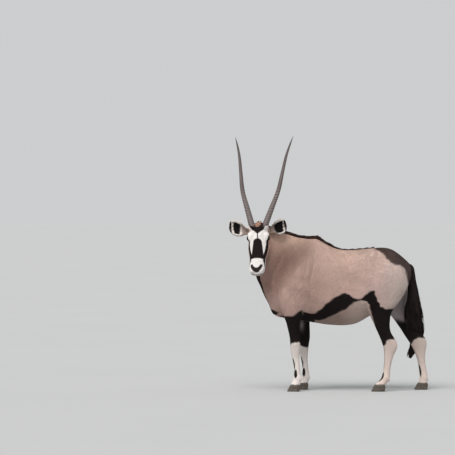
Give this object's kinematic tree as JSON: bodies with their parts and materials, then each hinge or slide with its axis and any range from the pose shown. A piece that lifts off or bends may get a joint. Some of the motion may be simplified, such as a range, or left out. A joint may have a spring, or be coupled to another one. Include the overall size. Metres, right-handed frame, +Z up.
{
  "type": "gemsbok",
  "caption": "Life-size standing gemsbok bull, head turned to its left, with long ringed horns, cupped ears, short mane and bushy dark tail.",
  "frame": {"origin": "centre of the bottom of the overall box, on the level that the hooves stand on", "axes": "-X the way the body faces, -Y its left side, which the head is turned to, +Z up"},
  "size_m": [1.5807, 0.5914, 2.0001],
  "materials": {
    "coat_tan": "short greyish fawn fur",
    "coat_dark": "black-brown hair",
    "coat_pale": "short pale fur with black markings",
    "horn": "ringed dark horn, smooth towards the tips",
    "hoof": "dull dark hoof",
    "eye": "wet dark brown eye"
  },
  "bodies": {
    "root": {"torso": "coat_tan", "neck": "coat_tan", "head": "coat_pale", "tail": "coat_dark", "foreleg_left": "coat_pale", "foreleg_right": "coat_pale", "hindleg_left": "coat_pale", "hindleg_right": "coat_pale", "ear_left": "coat_pale", "ear_right": "coat_pale", "horn_left": "horn", "horn_right": "horn", "eye_left": "eye", "eye_right": "eye", "toe_inner_foreleg_left": "hoof", "toe_outer_foreleg_left": "hoof", "toe_inner_foreleg_right": "hoof", "toe_outer_foreleg_right": "hoof", "toe_inner_hindleg_left": "hoof", "toe_outer_hindleg_left": "hoof", "toe_inner_hindleg_right": "hoof", "toe_outer_hindleg_right": "hoof"}
  },
  "joints": []
}
